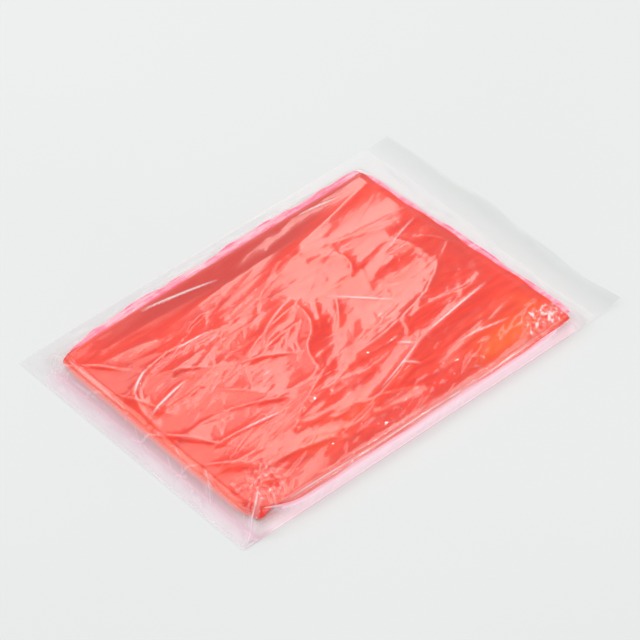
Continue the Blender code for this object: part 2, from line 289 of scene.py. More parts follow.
# The second leaf: how far it stands out past the top one, how far in its edges are free, how
# deep it lies under the top one, and how it droops and ripples past it.
LEAF_OUT_FAR, LEAF_OUT_MOUTH = 4.3, 3.7
LEAF_FREE_Y, LEAF_FREE_X = 20, 70
LEAF_DEPTH, LEAF_DROOP, LEAF_RIPPLE = 0.5, 0.22, 0.2
LEAF_EXTRA_PULL = 0.018

# The stack: its leaves, its corners, how far the grooves between the leaves go in, how far
# from its middle they start to fade, and how far its leaves draw in at the sealed end.
STACK_LEAVES = 16
STACK_CORNER_POWER = 0.1
STACK_EXTRA_PULL = 0.022
STACK_GROOVE = 2.2
STACK_INSET_FADE = 60
STACK_END_ROUNDING = 2.0
STACK_START = PACK_END + 1.4
STACK_BOTTOM, STACK_TOP = PACK_BASE + 0.15, RIM_HEIGHT - 1.5
STACK_UNDER_TOP = 1.6
# The sizes of the rings that close it, as shares of its outline.
STACK_BOTTOM_RINGS = (0.005, 0.393, 0.781)
STACK_TOP_RINGS = (0.905, 0.755, 0.505, 0.255, 0.005)

# How the front film comes down beside the pack.
# Rows: sealed end, mouth, near side, far side. Columns: gap to the pack's edge, width.
FILM_DROPS = ((0.4, 3.4), (0.8, 7.5), (0.3, 2.4), (0.6, 9.0))
LIP_FADE = 21.0

# Colours of the red film: body, deepest and lightest streaks, and the strokes on it: painted
# shade, painted highlight and orange.
RED_BASE, RED_DEEP, RED_LIGHT = (1.0, 0.026, 0.003), (0.84, 0.012, 0.001), (1.0, 0.062, 0.016)
RED_STROKES = (
    ("deep", (0.72, 0.02, 0.01)),
    ("far_band_shade", (0.58, 0.014, 0.012)),
    ("pale", (1.0, 0.2, 0.13)),
    ("warm", (1.0, 0.11, 0.0)),
)
# Painted shade and highlights of the red film, and painted glows of it, its edges and the leaf.
SHADE_IN_HOLLOWS, HIGHLIGHT_ON_CRESTS, BRIGHTEST_CREST_HIGHLIGHT = 1.6, 1.2, 0.8
ROLL_FACE_HIGHLIGHT = 0.9
FAR_SHADE_DEPTH = 0.85
RED_GLOW = 0.1
EDGES_GLOW = 0.5
LEAF_COLOUR, LEAF_ALPHA, LEAF_GLOW = (1.0, 0.14, 0.30), 0.85, 0.25
# The lip's and its tip's tints are painted shade; the shine is painted light.
CLEAR_TINT, LIP_SHADE_TINT, TIP_SHADE_TINT = (0.985, 0.98, 0.985), (0.895, 0.9, 0.9), (0.85, 0.86, 0.86)
SHINE_COLOUR = (0.98, 0.94, 0.98, 1.0)
GLOSS_COLOUR = (1.0, 0.95, 0.88, 1.0)
GLOSS_ROUGHNESSES = (0.22, 0.035)

# The softboxes, in degrees and metres.
# Columns: name, azimuth, elevation, distance, size across, size up, radiance.
WORLD_STRENGTH = 0.63
SOFTBOXES = (
    ("back_softbox", 138, 45, 2.4, 0.38, 1.6, 3.1),
    ("top_softbox", -30, 78, 2.6, 1.8, 1.8, 0.85),
    ("wide_softbox", 161, 55, 2.4, 0.75, 1.2, 1.5),
    ("left_softbox", -135, 38, 2.4, 1.0, 0.8, 3.2),
    ("near_softbox", 40, 40, 2.4, 0.36, 0.36, 8.0),
    ("spark_high", 110, 60, 2.4, 0.04, 0.04, 170),
    ("spark_side", 72, 56, 2.4, 0.16, 0.16, 16),
)

# The camera's lens and sensor in millimetres. Its place, its target and the floor in metres.
CAMERA_LENS, CAMERA_SENSOR = 245.8, 36.0
CAMERA_PLACE = (-1.0701, -1.1867, 1.5895)
CAMERA_TARGET = (0.0058, 0.0073, 0.0)
FLOOR_HALF = 3.0

# The clear film's gloss and haze, over the pack and in its flat margins. Beside the pack it is
# milky, with painted pink light from the pack and a painted shine. Sharp creases carry painted
# white glints in the haze.
FILM_IOR = 1.5
PACK_GLOSS, PACK_HAZE = 0.95, 0.004
MARGIN_GLOSS, MARGIN_HAZE = 0.35, 0.08
GLOW_HAZE = 0.7
GLOW_REACH_END, GLOW_REACH_SIDE = 9.0, 3.2
GLOW_ON_SLOPE, GLOW_SOFTNESS = 0.6, 1.5
GLOW_BACK = 0.8
SHINE_LIGHT, SHINE_REACH = 0.24, 14.0
END_SHINE = 0.2
GLINT_HAZE = 0.75
GLINT_FROM, GLINT_MOST = 0.15, 0.3
GLOSS_BESIDE, GLOSS_REACH = 0.5, 9.0
LIP_FAR_SHADE = 0.75

# How far the pack's corners are rounded in plan.
# Rows are the sealed end and the mouth, columns the near and far sides.
CORNER_PULLS_X = ((0.05, 0.022), (0.02, 0.008))
CORNER_PULLS_Y = ((0.085, 0.022), (0.02, 0.008))
CORNER_SHARPNESS = 9


# ---------------------------------------------------------------- shapes


def smooth(t):
    """A soft step from 0 to 1."""
    t = np.clip(t, 0.0, 1.0)
    return t * t * (3 - 2 * t)


def blend(a, b, t):
    """The value that lies a share t of the way from a to b."""
    return a + (b - a) * t


def waves(t, rows):
    """Summed sine waves."""
    return sum(height * np.sin(t / length + phase) for height, length, phase in rows)


def stretched(t, start, end, new_end):
    """Values past the start, stretched so that the end comes to its new place."""
    return np.where(t > start, blend(start, new_end, (t - start) / (end - start)), t)


def crease_field(x, y, rows):
    """The summed height of straight or bowed creases with sharp crests and soft flanks."""
    total = np.zeros_like(x)
    for x0, y0, x1, y1, bow, height, left, right in rows:
        length = math.hypot(x1 - x0, y1 - y0)
        along_x, along_y = (x1 - x0) / length, (y1 - y0) / length
        reach = 4 * max(left, right) + abs(bow)
        near = (x > min(x0, x1) - reach) & (x < max(x0, x1) + reach)
        near &= (y > min(y0, y1) - reach) & (y < max(y0, y1) + reach)
        px, py = x[near] - x0, y[near] - y0
        along = px * along_x + py * along_y
        share = np.clip(along / length, 0.0, 1.0)
        across = py * along_x - px * along_y - bow * 4 * share * (1 - share)
        beyond = np.maximum(0.0, np.maximum(-along, along - length))
        offset = np.sqrt(across**2 + beyond**2 + CREST_ROUNDING**2) - CREST_ROUNDING
        width = np.where(across > 0, left, right)
        taper = 0.25 + 0.75 * np.sqrt(np.sin(math.pi * np.clip(share, 0.02, 0.98)))
        total[near] += height * taper * np.exp(-offset / width)
    return total


def strewn(group):
    """The crease rows of one group of small creases."""
    seed, count, mid_x, mid_y, spread_x, spread_y, angle, angle_spread, *limits = group
    shortest, longest, gentlest, steepest, narrowest, widest = limits
    rng = np.random.default_rng(seed)
    rows = []
    for _ in range(count):
        cx = mid_x + spread_x * rng.uniform(-1.3, 1.3)
        cy = mid_y + spread_y * rng.uniform(-1.3, 1.3)
        turn = math.radians(rng.normal(angle, angle_spread))
        half = blend(shortest, longest, rng.random() ** 2) / 2
        width = blend(narrowest, widest, rng.random() ** 1.5)
        height = width * blend(gentlest, steepest, rng.random())
        skew = rng.uniform(0.6, 1.6)
        dx, dy = half * math.cos(turn), half * math.sin(turn)
        bow = rng.normal(0, 0.06) * half
        rows.append((cx - dx, cy - dy, cx + dx, cy + dy, bow, height, width * skew, width / skew))
    return rows


def strewn_field(x, y, groups):
    """The summed height of groups of small creases."""
    return sum(crease_field(x, y, strewn(group)) for group in groups)


def pack_mouth(y):
    """Where the pack's slanted mouth end lies."""
    return PACK_MOUTH - MOUTH_SKEW * (y - PACK_MIDDLE) / (PACK_FAR - PACK_MIDDLE)


def pack_shares(x, y):
    """How far along and across the pack a point lies, -1 to 1."""
    u = 2 * (x - ROLL_START) / (pack_mouth(y) - ROLL_START) - 1
    v = 2 * (y - PACK_NEAR) / (PACK_FAR - PACK_NEAR) - 1
    return np.clip(u, -1, 1), np.clip(v, -1, 1)


def corner_pull(u, v, pulls):
    """The pull at a point, between the values of the four corners."""
    near_pull = blend(pulls[0][0], pulls[1][0], (u + 1) / 2)
    far_pull = blend(pulls[0][1], pulls[1][1], (u + 1) / 2)
    return blend(near_pull, far_pull, (v + 1) / 2)


def rounded(x, y, extra=0.0):
    """A point of the pack's plan, drawn in near the corners."""
    u, v = pack_shares(x, y)
    pull_x = (corner_pull(u, v, CORNER_PULLS_X) + extra) * np.abs(v) ** CORNER_SHARPNESS
    pull_y = (corner_pull(u, v, CORNER_PULLS_Y) + extra) * np.abs(u) ** CORNER_SHARPNESS
    half_x = (PACK_MOUTH - PACK_END) / 2
    half_y = (PACK_FAR - PACK_NEAR) / 2
    return x - half_x * u * pull_x, y - half_y * v * pull_y


def sharpness(height, lines_x, lines_y):
    """How sharply a surface bends, positive in hollows and negative on crests."""
    across = np.gradient(np.gradient(height, lines_y, axis=0), lines_y, axis=0)
    along = np.gradient(np.gradient(height, lines_x, axis=1), lines_x, axis=1)
    return across + along


def outside_distance(x, y):
    """How far a point lies outside the pack's plan."""
    dx = np.maximum(0.0, np.maximum(PACK_END - x, x - pack_mouth(y)))
    dy = np.maximum(0.0, np.maximum(PACK_NEAR - y, y - PACK_FAR))
    return np.hypot(dx, dy)


def leaf_side_share(x, y):
    """1 beside the edges where the second leaf stands out, 0 on the other two sides."""
    mouth = smooth((x - pack_mouth(y) + 6) / 12)
    far = smooth((y - PACK_FAR + 8) / 10)
    return 1 - (1 - mouth) * (1 - far)


def glow_share(x, y):
    """How much painted pink light from the pack, with milky haze, the film shows beside it."""
    reach = blend(GLOW_REACH_END, GLOW_REACH_SIDE, smooth((x - PACK_END) / 10))
    side = blend(1.0, 0.25, leaf_side_share(x, y))
    return np.exp(-outside_distance(x, y) / reach) * side


def shine_share(x, y):
    """How much painted shine the front film shows on the near side, and less past the sealed end.
    """
    outside = outside_distance(x, y)
    side = blend(END_SHINE, 1.0, smooth((x - PACK_END) / 10)) * (1 - leaf_side_share(x, y))
    return np.exp(-outside / SHINE_REACH) * smooth(outside / 2.5) * side


def far_shade_share(x, y):
    """1 in the far band that is painted darker as shade."""
    inner = np.interp(x, FAR_SHADE_X, FAR_SHADE_Y)
    return smooth((y - inner) / FAR_SHADE_SOFTNESS) * smooth((x + 105) / 50)


def dome(x, y):
    """The height of the smooth, crowned pack."""
    u, v = pack_shares(x, y)
    crown = (1 - np.abs(u) ** CROWN_POWER_ENDS) * (1 - np.abs(v) ** CROWN_POWER_SIDES)
    return RIM_HEIGHT + CROWN_RISE * crown


def inside_fade(x, y, width):
    """0 on the pack's rim and 1 from that width inwards."""
    rim = np.minimum(x - PACK_END, pack_mouth(y) - x)
    rim = np.minimum(rim, np.minimum(y - PACK_NEAR, PACK_FAR - y))
    return smooth(rim / width)


def soft_noise(x, y, seed, long, wide, turn):
    """Smooth random values, -1 to 1, drawn out along one direction."""
    table = np.random.default_rng(seed).uniform(-1, 1, (64, 64))
    c, s = math.cos(math.radians(turn)), math.sin(math.radians(turn))
    u, v = (x * c + y * s) / long + 31.3, (y * c - x * s) / wide + 29.7
    iu, iv = np.floor(u).astype(int), np.floor(v).astype(int)
    fu, fv = smooth(u - iu), smooth(v - iv)
    low = blend(table[iu % 64, iv % 64], table[(iu + 1) % 64, iv % 64], fu)
    high = blend(table[iu % 64, (iv + 1) % 64], table[(iu + 1) % 64, (iv + 1) % 64], fu)
    return blend(low, high, fv)


def crumple(x, y, layers):
    """Sharp crests between soft hollows, summed over layers of different size."""
    total = np.zeros_like(x)
    for seed, height, long, wide, turn in layers:
        shift = 0.35 * wide * soft_noise(x, y, seed + 100, wide * 2.5, wide * 1.5, turn + 30)
        value = soft_noise(x + 1.5 * shift, y + shift, seed, long, wide, turn)
        strength = 0.75 + 0.6 * soft_noise(x, y, seed + 200, 60, 34, 20)
        total += height * strength * (1 - np.sqrt(value**2 + 0.003))
    return total


def unrest(x, y):
    """1 where small creases show in full, less in the calm patches."""
    share = np.ones_like(x)
    for mid_x, mid_y, half_long, half_wide, angle, strength in CALM_PATCHES:
        c, s = math.cos(math.radians(angle)), math.sin(math.radians(angle))
        u = ((x - mid_x) * c + (y - mid_y) * s) / half_long
        v = ((y - mid_y) * c - (x - mid_x) * s) / half_wide
        share *= 1 - strength * np.exp(-((u**2 + v**2) ** 1.5))
    return share


def shared_height(x, y):
    """The crowned pack with the large creases that both films follow."""
    creases = crease_field(x, y, MAIN_CREASES) + crumple(x, y, SHARED_CRUMPLE) * unrest(x, y)
    return dome(x, y) + creases * inside_fade(x, y, 5.0)


def poncho_height(x, y):
    """The height of the poncho's top, with its own creases."""
    own = strewn_field(x, y, PONCHO_SMALL) + crumple(x, y, PONCHO_CRUMPLE)
    return shared_height(x, y) + own * unrest(x, y) * inside_fade(x, y, 5.0)


# ---------------------------------------------------------------- meshes


def sheet_mesh(name, points):
    """A sheet through a rows by columns grid of points in millimetres, on the one body."""
    rows, columns = points.shape[:2]
    index = np.arange(rows * columns).reshape(rows, columns)
    quads = np.stack((index[:-1, :-1], index[:-1, 1:], index[1:, 1:], index[1:, :-1]), -1)
    quads = quads.reshape(-1, 4)
    mesh = bpy.data.meshes.new(name)
    mesh.vertices.add(rows * columns)
    mesh.vertices.foreach_set("co", (points * MM).reshape(-1))
    mesh.loops.add(quads.size)
    mesh.loops.foreach_set("vertex_index", quads.reshape(-1))
    mesh.polygons.add(len(quads))
    mesh.polygons.foreach_set("loop_start", np.arange(len(quads)) * 4)
    mesh.update(calc_edges=True)
    mesh.validate()
    mesh.shade_smooth()
    piece = bpy.data.objects.new(name, mesh)
    bpy.context.scene.collection.objects.link(piece)
    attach(piece, "root")
    return piece


def store(piece, name, values):
    """Keep one value per point of a sheet for its material."""
    kept = piece.data.attributes.new(name, "FLOAT", "POINT")
    kept.data.foreach_set("value", values.astype(np.float32).reshape(-1))


def spaced(*stretches):
    """Grid lines over joined stretches, each given as (from, to, spacing)."""
    lines = [np.array([stretches[0][0]])]
    for start, end, spacing in stretches:
        count = max(1, round(abs(end - start) / spacing))
        lines.append(np.linspace(start, end, count + 1)[1:])
    return np.concatenate(lines)


# ---------------------------------------------------------------- materials


class Nodes:
    """Short ways to add and join the nodes of one material."""

    def __init__(self, name):
        self.material = bpy.data.materials.new(name)
        self.material.use_nodes = True
        self.tree = self.material.node_tree
        self.tree.nodes.clear()
        self.output = self.add("ShaderNodeOutputMaterial")

    def add(self, kind, inputs=(), **settings):
        node = self.tree.nodes.new(kind)
        for name, value in settings.items():
            setattr(node, name, value)
        for socket, value in dict(inputs).items():
            if isinstance(value, bpy.types.NodeSocket):
                self.tree.links.new(value, node.inputs[socket])
            else:
                node.inputs[socket].default_value = value
        return node

    def finish(self, shader):
        self.tree.links.new(shader, self.output.inputs["Surface"])
        return self.material

    def object_noise(self, scale, detail=2.0, stretch=(1.0, 1.0, 1.0), warp=0.0):
        place = self.add("ShaderNodeTexCoord").outputs["Object"]
        moved = self.add("ShaderNodeMapping", {"Vector": place, "Scale": stretch}).outputs[0]
        return self.add(
            "ShaderNodeTexNoise",
            {"Vector": moved, "Scale": scale, "Detail": detail, "Distortion": warp},
        ).outputs["Fac"]

    def ramp(self, value, *stops):
        node = self.add("ShaderNodeValToRGB", {"Fac": value})
        elements = node.color_ramp.elements
        while len(elements) < len(stops):
            elements.new(0.5)
        for element, (position, colour) in zip(elements, stops):
            element.position = position
            element.color = (*colour, 1.0)
        return node.outputs["Color"]

    def span(self, value, low, high):
        """A value from 0 to 1 carried over to a range from low to high."""
        return self.add(
            "ShaderNodeMath", {0: value, 1: high - low, 2: low}, operation="MULTIPLY_ADD"
        ).outputs[0]

    def bump(self, height, strength, distance):
        return self.add(
            "ShaderNodeBump", {"Height": height, "Strength": strength, "Distance": distance}
        ).outputs[0]


def red_film_material(name, base, deep, light):
    """Stacked translucent red film: a saturated body colour with streaks, under a gloss."""
    nodes = Nodes(name)
    streaks = nodes.object_noise(60, 5.0, (0.4, 1.8, 1.0), 1.6)
    colour = nodes.ramp(streaks, (0.30, deep), (0.52, base), (0.78, light))
    threads = nodes.object_noise(150, 3.0, (0.22, 2.2, 1.0), 0.9)
    faint = nodes.ramp(threads, (0.36, (0.86, 0.5, 0.4)), (0.56, (1.0, 1.0, 1.0)))
    colour = nodes.add(
        "ShaderNodeMixRGB", {"Fac": 0.8, "Color1": colour, "Color2": faint}, blend_type="MULTIPLY"
    ).outputs[0]
    # Mixed in: painted shade, painted highlights and orange strokes kept on the sheet.
    for attribute, stroke in RED_STROKES:
        share = nodes.add("ShaderNodeAttribute", attribute_name=attribute).outputs["Fac"]
        colour = nodes.add(
            "ShaderNodeMixRGB", {"Fac": share, "Color1": colour, "Color2": (*stroke, 1.0)}
        ).outputs[0]
    ripple = nodes.object_noise(260, 2.0, (0.5, 1.5, 1.0), 0.8)
    shader = nodes.add(
        "ShaderNodeBsdfPrincipled",
        {
            "Base Color": colour,
            "Roughness": 0.16,
            "IOR": 1.5,
            "Specular IOR Level": 0.62,
            "Specular Tint": (1.0, 0.9, 0.78, 1.0),
            "Normal": nodes.bump(ripple, 0.15, 0.0002),
            # A painted red glow.
            "Emission Color": (1.0, 0.02, 0.01, 1.0),
            "Emission Strength": RED_GLOW,
        },
    )
    return nodes.finish(shader.outputs[0])


def edges_material(name):
    """The film's many folded edges, paler towards the surface, with a painted glow."""
    nodes = Nodes(name)
    place = nodes.add("ShaderNodeTexCoord").outputs["Object"]
    height = nodes.add("ShaderNodeSeparateXYZ", {"Vector": place}).outputs["Z"]
    share = nodes.span(height, 0.0, 1000.0 / RIM_HEIGHT)
    colour = nodes.ramp(
        share, (0.1, (1.0, 0.74, 0.83)), (0.5, (1.0, 0.50, 0.60)), (0.82, (1.0, 0.22, 0.28))
    )
    shader = nodes.add(
        "ShaderNodeBsdfPrincipled",
        {
            "Base Color": colour,
            "Roughness": 0.2,
            "Emission Color": colour,
            "Emission Strength": EDGES_GLOW,
        },
    )
    return nodes.finish(shader.outputs[0])


def leaf_material(name, colour, alpha):
    """One or two layers of the red film, see-through and pink against the surface."""
    nodes = Nodes(name)
    streaks = nodes.object_noise(220, 3.0, (0.35, 1.0, 1.0), 0.8)
    deeper = tuple(0.55 * value if number else value for number, value in enumerate(colour))
    paler = tuple(blend(value, 1.0, 0.25) for value in colour)
    tone = nodes.ramp(streaks, (0.34, deeper), (0.5, colour), (0.66, paler))
    shader = nodes.add(
        "ShaderNodeBsdfPrincipled",
        {
            "Base Color": tone,
            "Roughness": 0.2,
            "IOR": 1.5,
            "Alpha": nodes.span(streaks, alpha + 0.16, alpha - 0.24),
            "Emission Color": tone,
            # A painted glow in the leaf's colour.
            "Emission Strength": LEAF_GLOW,
        },
    )
    return nodes.finish(shader.outputs[0])


def clear_film_material(name, tint):
    """Clear film: see-through and glossy over the pack, duller where it lies flat."""
    nodes = Nodes(name)
    over = nodes.add("ShaderNodeAttribute", attribute_name="over_pack").outputs["Fac"]
    ripple = nodes.object_noise(220, 2.0, (0.6, 1.4, 1.0), 0.8)
    normal = nodes.bump(ripple, nodes.span(over, 0.02, 0.22), 0.0002)
    inside = nodes.add("ShaderNodeNewGeometry").outputs["Backfacing"]
    bend = nodes.span(inside, FILM_IOR, 1 / FILM_IOR)
    fresnel = nodes.add("ShaderNodeFresnel", {"IOR": bend, "Normal": normal}).outputs[0]
    strength = nodes.span(over, MARGIN_GLOSS, PACK_GLOSS)
    share = nodes.add(
        "ShaderNodeMath", {0: fresnel, 1: strength}, operation="MULTIPLY", use_clamp=True
    ).outputs[0]
    # Painted pink light beside the pack and painted white glints on sharp creases thicken the
    # haze.
    glow = nodes.add("ShaderNodeAttribute", attribute_name="glow").outputs["Fac"]
    painted_glint = nodes.add("ShaderNodeAttribute", attribute_name="painted_glint").outputs["Fac"]
    haze = nodes.span(over, MARGIN_HAZE, PACK_HAZE)
    for attribute, most in ((glow, GLOW_HAZE), (painted_glint, GLINT_HAZE)):
        haze = nodes.add(
            "ShaderNodeMath", {0: attribute, 1: most, 2: haze}, operation="MULTIPLY_ADD"
        ).outputs[0]
    # The lip's darker tint is painted shade.
    lip = nodes.add("ShaderNodeAttribute", attribute_name="lip").outputs["Fac"]
    tinted = nodes.ramp(lip, (0.0, tint), (0.8, LIP_SHADE_TINT), (1.0, TIP_SHADE_TINT))
    through = nodes.add("ShaderNodeBsdfTransparent", {"Color": tinted}).outputs[0]
    # Near the pack the haze takes a painted pink light.
    haze_and_painted_pink = nodes.ramp(
        glow, (0.0, (0.95, 0.95, 0.96)), (0.5, (0.95, 0.76, 0.84)), (1.0, (0.97, 0.56, 0.68))
    )
    scattered = nodes.add("ShaderNodeBsdfDiffuse", {"Color": haze_and_painted_pink}).outputs[0]
    body = nodes.add("ShaderNodeMixShader", {0: haze, 1: through, 2: scattered}).outputs[0]
    # A painted shine on the near side.
    shine = nodes.add("ShaderNodeAttribute", attribute_name="shine").outputs["Fac"]
    shine = nodes.span(shine, 0.0, SHINE_LIGHT)
    lit = nodes.add("ShaderNodeEmission", {"Color": SHINE_COLOUR, "Strength": shine})
    body = nodes.add("ShaderNodeAddShader", {0: body, 1: lit.outputs[0]}).outputs[0]
    glosses = []
    for roughness in GLOSS_ROUGHNESSES:
        inputs = {"Color": GLOSS_COLOUR, "Roughness": roughness, "Normal": normal}
        glosses.append(nodes.add("ShaderNodeBsdfGlossy", inputs).outputs[0])
    gloss = nodes.add("ShaderNodeMixShader", {0: 0.5, 1: glosses[0], 2: glosses[1]}).outputs[0]
    shader = nodes.add("ShaderNodeMixShader", {0: share, 1: body, 2: gloss}).outputs[0]
    return nodes.finish(shader)


def floor_material():
    """A pale matt surface, all but even."""
    nodes = Nodes("pale_floor")
    grain = nodes.object_noise(3.0, 1.0)
    colour = nodes.ramp(grain, (0.3, (0.80, 0.825, 0.815)), (0.7, (0.82, 0.845, 0.835)))
    shader = nodes.add(
        "ShaderNodeBsdfPrincipled",
        {"Base Color": colour, "Roughness": 0.9, "Specular IOR Level": 0.1},
    )
    return nodes.finish(shader.outputs[0])


# ---------------------------------------------------------------- pieces


def turn_over_top(lines_y, shares):
    """The outer turn over the stack, from the roll to the mouth."""
    rows_y, top_share = np.meshgrid(lines_y, shares, indexing="ij")
    edge_x = pack_mouth(rows_y) + waves(rows_y, TOP_EDGE_WAVES)
    x = blend(ROLL_START, edge_x, top_share)
    beside = smooth((np.abs(pack_shares(x, rows_y)[1]) - 0.8) / 0.2)
    y = rows_y + waves(x, TOP_SIDE_WAVES) * beside
    droop = smooth(1 - (y - PACK_NEAR) / DROOP_WIDTH)
    droop = droop + smooth(1 - (PACK_FAR - y) / DROOP_WIDTH)
    x, y = rounded(x, y)
    return x, y, poncho_height(x, y) - SIDE_DROOP * np.clip(droop, 0, 1)


def turn_round_end(rim_x, rim_y, rim_z, lines_y):
    """The roll round the sealed end, from the top's rim down to the pack's underside."""
    fall = np.linspace(0, 1, 26)[1:][None, :]
    bulge = 1 + waves(lines_y[:, None], ROLL_WAVES)
    outward = np.sin(math.pi / 2 * np.clip(fall / ROLL_LOWEST, 0, 1) ** 0.85)
    return_in = np.clip((fall - ROLL_LOWEST) / (1 - ROLL_LOWEST), 0, 1)
    outward = np.where(fall > ROLL_LOWEST, np.cos(math.pi / 2 * return_in**1.5), outward)
    x = rim_x - ROLL_DEPTH * bulge * outward
    return x, np.repeat(rim_y, fall.shape[1], 1), blend(rim_z, PACK_BASE, fall)


def turn_under(rim_y, lines_y):
    """The stretch that lies flat under the pack, a little inside its plan."""
    share = np.linspace(0, 1, 30)[1:][None, :]
    x = blend(ROLL_START, pack_mouth(lines_y[:, None]) - UNDER_INSET, share)
    inset = UNDER_INSET * smooth(share / 0.1)
    y = rim_y - inset * np.sign(rim_y - PACK_MIDDLE)
    y = np.where(np.abs(rim_y - PACK_MIDDLE) > UNDER_STRIP, y, rim_y)
    return x, y, np.full_like(x, PACK_BASE)


def build_back_panel(material):
    """The outer turn of the poncho: over the top, round the sealed end, and under."""
    lines_y = spaced((PACK_NEAR, PACK_NEAR + 6, 0.5), (PACK_NEAR + 6, PACK_FAR, 0.72))
    shares = np.linspace(0, 1, 270)
    top = turn_over_top(lines_y, shares)
    rim = [values[:, :1] for values in top]
    roll = turn_round_end(*rim, lines_y)
    under = turn_under(rim[1], lines_y)
    x, y, z = (np.hstack((a[:, ::-1], b, c)) for a, b, c in zip(top, roll, under))
    bends = sharpness(top[2], shares * (PACK_MOUTH - ROLL_START), lines_y)
    bends = (bends * inside_fade(top[0], top[1], 4.0))[:, ::-1]
    rest = np.zeros((len(lines_y), x.shape[1] - bends.shape[1]))
    bends = np.hstack((bends, rest))
    # Painted shade: darker red along the listed strokes and in the film's hollows.
    deep = crease_field(x, y, SHADE_STROKES) + SHADE_IN_HOLLOWS * np.maximum(0, bends)
    # Painted highlights: paler red on the crests and on the roll's face.
    pale = np.clip(-HIGHLIGHT_ON_CRESTS * bends, 0, BRIGHTEST_CREST_HIGHLIGHT)
    pale = np.maximum(pale, ROLL_FACE_HIGHLIGHT * smooth((ROLL_START - x) / ROLL_DEPTH))
    piece = sheet_mesh("back_panel_film", np.stack((x, y, z), -1))
    store(piece, "deep", np.clip(deep, 0, 1))
    store(piece, "pale", pale)
    store(piece, "warm", np.clip(crease_field(x, y, WARM_STROKES), 0, 1))
    # Painted shade: the far band is darker.
    store(piece, "far_band_shade", FAR_SHADE_DEPTH * far_shade_share(x, y))
    piece.data.materials.append(material)
    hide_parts("back_panel")
    return piece


def build_second_leaf(material):
    """The next leaf, whose far and mouth edges stand out past the top one."""
    # The grid ends here until its free edges are stretched to their places.
    far_end, mouth_end = PACK_FAR + 4, PACK_MOUTH + 8
    lines_x = spaced((ROLL_START, mouth_end, 1.2))
    lines_y = spaced((PACK_NEAR + 2.5, PACK_FAR, 1.2), (PACK_FAR, far_end, 0.6))
    y, x = np.meshgrid(lines_y, lines_x, indexing="ij")
    far_line = PACK_FAR + LEAF_OUT_FAR + waves(x, LEAF_FAR_WAVES)
    out_mouth = LEAF_OUT_MOUTH + waves(y, LEAF_MOUTH_WAVES)
    y = stretched(y, PACK_FAR - LEAF_FREE_Y, far_end, far_line)
    x = stretched(x, LEAF_FREE_X, mouth_end, pack_mouth(y) + out_mouth)
    over = np.maximum(0, y - PACK_FAR) + np.maximum(0, x - pack_mouth(y))
    x, y = rounded(x, y, LEAF_EXTRA_PULL)
    ripple = LEAF_RIPPLE * np.sin(x / 3.1) * smooth(over / 2)
    z = dome(x, y) - LEAF_DEPTH - LEAF_DROOP * over + ripple
    piece = sheet_mesh("front_panel_film", np.stack((x, y, z), -1))
    piece.data.materials.append(material)
    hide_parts("front_panel")
    return piece


def leaf_inset(rng, x, y):
    """How far in the edge of one leaf lies, which wanders along the stack's outline."""
    phase = rng.uniform(0, 6, 3)
    inset = 0.9 + 0.5 * np.sin(x / 17 + phase[0])
    inset = inset + 0.4 * np.sin(y / 13 + phase[1])
    inset = inset + 0.25 * np.sin((x + y) / 4 + phase[2])
    return np.maximum(0.1, inset + rng.uniform(-0.4, 0.5))


def build_stack(material):
    """The hidden turns, as one closed body with its many film edges on the sides."""
    rng = np.random.default_rng(5)
    around = np.linspace(0, 2 * math.pi, 721)[:-1]
    cu = np.sign(np.cos(around)) * np.abs(np.cos(around)) ** STACK_CORNER_POWER
    cv = np.sign(np.sin(around)) * np.abs(np.sin(around)) ** STACK_CORNER_POWER
    base_y = blend(PACK_NEAR, PACK_FAR, (cv + 1) / 2)
    base_x = blend(STACK_START, pack_mouth(base_y), (cu + 1) / 2)
    base_x, base_y = rounded(base_x, base_y, STACK_EXTRA_PULL)
    middle_x = (STACK_START + PACK_MOUTH) / 2
    dx, dy = base_x - middle_x, base_y - PACK_MIDDLE
    rings = []

    def add_ring(x, y, z):
        """Add the points of one ring."""
        rings.append(np.stack((x, y, np.broadcast_to(z, x.shape)), -1))

    for share in STACK_BOTTOM_RINGS:
        add_ring(middle_x + dx * share, PACK_MIDDLE + dy * share, STACK_BOTTOM)
    levels = np.linspace(STACK_BOTTOM, STACK_TOP, 2 * STACK_LEAVES + 1)
    for number, level in enumerate(levels):
        inset = leaf_inset(rng, base_x, base_y) if number % 2 else STACK_GROOVE
        height_share = number / (2 * STACK_LEAVES)
        inset = inset + STACK_END_ROUNDING * (2 * abs(height_share - 0.5)) ** 3 * (cu < -0.9)
        x = base_x - inset * dx / np.maximum(np.abs(dx), STACK_INSET_FADE)
        y = base_y - inset * dy / np.maximum(np.abs(dy), STACK_INSET_FADE)
        add_ring(x, y, level)
    for share in STACK_TOP_RINGS:
        x, y = middle_x + dx * share, PACK_MIDDLE + dy * share
        add_ring(x, y, dome(x, y) - STACK_UNDER_TOP)
    points = np.stack(rings)
    points = np.concatenate((points, points[:, :1]), 1)
    piece = sheet_mesh("folded_layers_film", points)
    piece.data.materials.append(material)
    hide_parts("folded_layers")
    return piece


def near_share(y):
    """0 on the packet's far side and 1 on its near side."""
    return smooth((PACKET_SIDE - y) / (2 * PACKET_SIDE))


def lip_height(x, y):
    """How far the lip curls up, most at its near corner."""
    bend = np.maximum(0.0, (x - (PACKET_HALF - LIP_BEND)) / LIP_BEND)
    return LIP_RISE * bend**2 * blend(0.2, 1.0, near_share(y))


